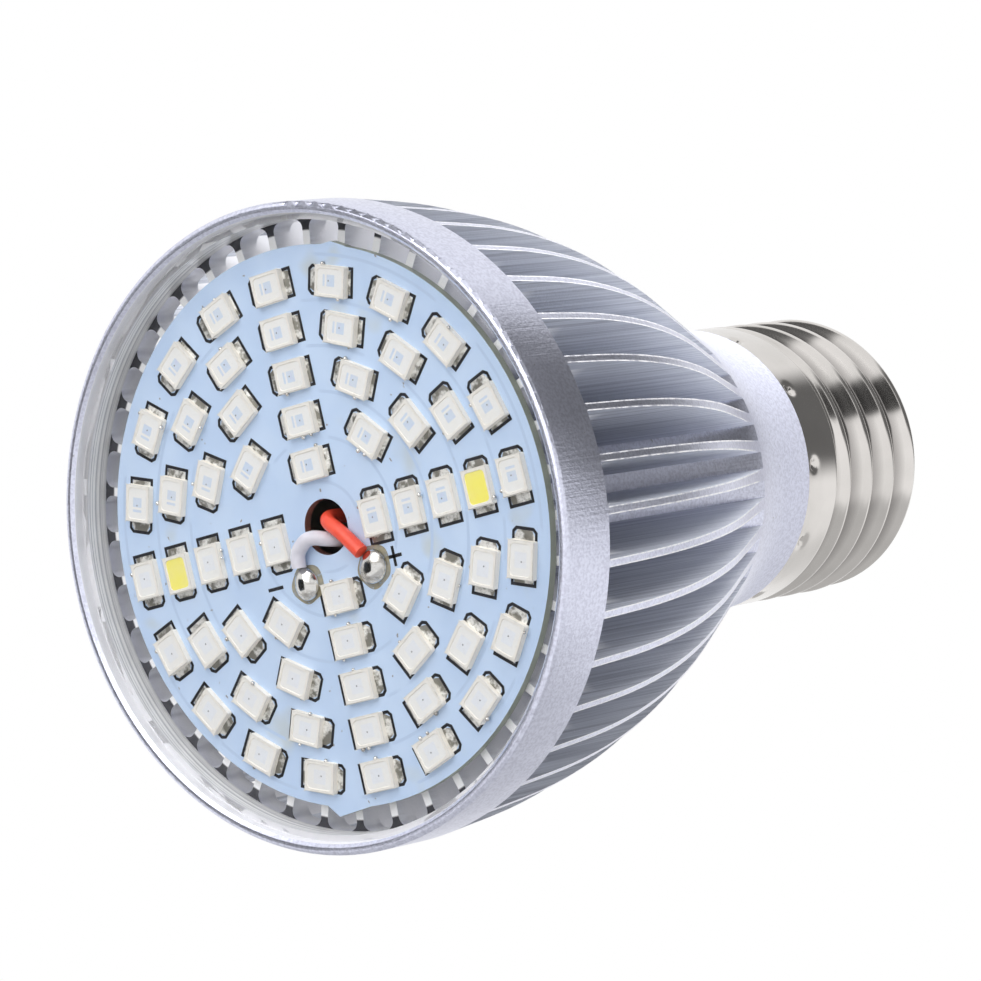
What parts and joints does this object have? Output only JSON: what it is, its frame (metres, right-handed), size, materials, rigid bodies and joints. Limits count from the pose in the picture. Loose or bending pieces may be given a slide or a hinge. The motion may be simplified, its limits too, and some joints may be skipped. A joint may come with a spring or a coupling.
{
  "type": "led grow light bulb",
  "caption": "Screw-in LED grow light bulb: finned aluminium bell, clear front disc over a round board of red, blue and white LEDs, nickel-plated screw cap.",
  "frame": {"origin": "centre of the front ring's face, on the bulb's axis; the bulb stands on this ring", "axes": "+Z along the axis from the front face to the cap's centre contact; +Y towards the board's larger break tab"},
  "size_m": [0.056, 0.056, 0.0825],
  "materials": {
    "satin_aluminium": "turned and blasted, satin",
    "clear_plastic": "clear, glossy",
    "board_mask": "satin solder mask",
    "paste": "matte",
    "led_package": "satin",
    "led_phosphor": "satin",
    "solder": "bright",
    "white_plastic": "matte",
    "nickel_plate": "polished nickel",
    "black_insulator": "gloss",
    "contact_plate": "satin",
    "laminate": "satin",
    "ferrite": "matte",
    "yellow_tape": "gloss",
    "black_sleeve": "gloss",
    "resistor_coat": "matte",
    "black_resin": "matte",
    "red_insulation": "satin",
    "white_insulation": "satin"
  },
  "bodies": {
    "root": {"heat_sink": "satin_aluminium", "front_cover": "clear_plastic", "led_board": "board_mask", "thermal_paste": "paste", "leds_red": "led_package", "leds_blue": "led_package", "leds_white": "led_phosphor", "solder_joint_positive": "solder", "solder_joint_negative": "solder", "driver_housing": "white_plastic", "cap_shell": "nickel_plate", "cap_insulator": "black_insulator", "centre_contact": "contact_plate", "driver_board": "laminate", "transformer_core": "ferrite", "transformer_winding": "yellow_tape", "output_capacitor": "black_sleeve", "input_capacitor": "black_sleeve", "fuse_resistor": "resistor_coat", "control_chip": "black_resin", "bridge_rectifier": "black_resin", "lead_positive": "red_insulation", "lead_negative": "white_insulation", "lead_live": "red_insulation", "lead_neutral": "white_insulation"}
  },
  "joints": []
}
